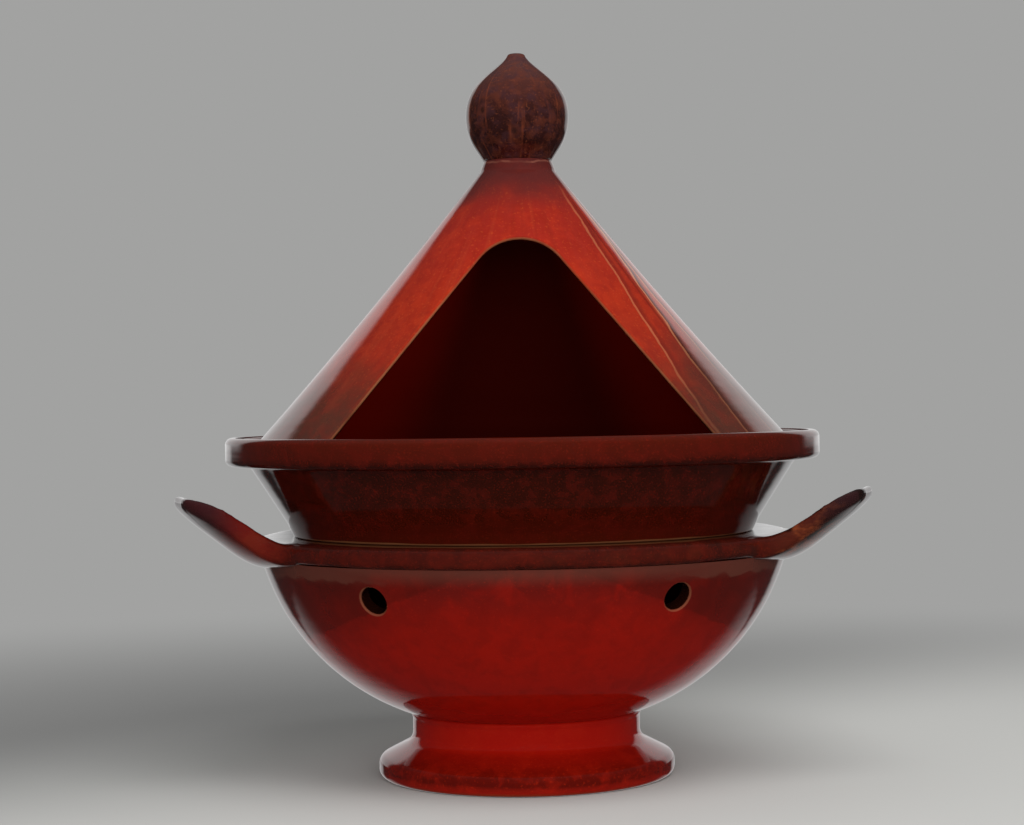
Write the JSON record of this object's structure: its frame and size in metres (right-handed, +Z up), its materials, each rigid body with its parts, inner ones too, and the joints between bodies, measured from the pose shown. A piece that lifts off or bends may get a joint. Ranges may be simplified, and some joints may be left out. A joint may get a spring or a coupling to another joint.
{
  "type": "tagine",
  "caption": "Glazed stoneware serving dish with a tall conical lid that has an arched front doorway and a round knob, set on a footed brazier bowl with side ears and air vents.",
  "frame": {"origin": "centre of the foot's underside, on the surface that the brazier stands on", "axes": "+Z up along the axis that all the round pieces are turned about, doorway of the lid towards -Y, ears towards +X and -X and both turned 17.5 degrees towards -Y"},
  "size_m": [0.3226, 0.28, 0.3416],
  "materials": {
    "foot_glaze": "glossy red glaze on stoneware",
    "bowl_glaze": "glossy red glaze on stoneware, darker under the rim",
    "rim_glaze": "glossy dark brown-red speckled glaze on stoneware",
    "ear_glaze": "glossy brown-red glaze on stoneware",
    "dish_glaze": "glossy dark red glaze on stoneware, bare clay on the base ring",
    "lid_glaze": "glossy streaked red-orange glaze on stoneware, brown at the top and the foot",
    "knob_glaze": "glossy mottled brown glaze on stoneware"
  },
  "bodies": {
    "brazier": {"brazier_foot": "foot_glaze", "brazier_floor": "bowl_glaze", "brazier_bowl": "bowl_glaze", "brazier_rim": "rim_glaze", "left_ear_handle": "ear_glaze", "right_ear_handle": "ear_glaze"},
    "dish": {"tagine_dish": "dish_glaze"},
    "lid": {"lid_cone": "lid_glaze", "lid_knob": "knob_glaze"}
  },
  "joints": [
    {"name": "dish_lift", "type": "slide", "parent": "brazier", "child": "dish", "axis": [0, 0, 1], "range_m": [0, 0.12]},
    {"name": "lid_lift", "type": "slide", "parent": "dish", "child": "lid", "axis": [0, 0, 1], "range_m": [0, 0.15]}
  ]
}
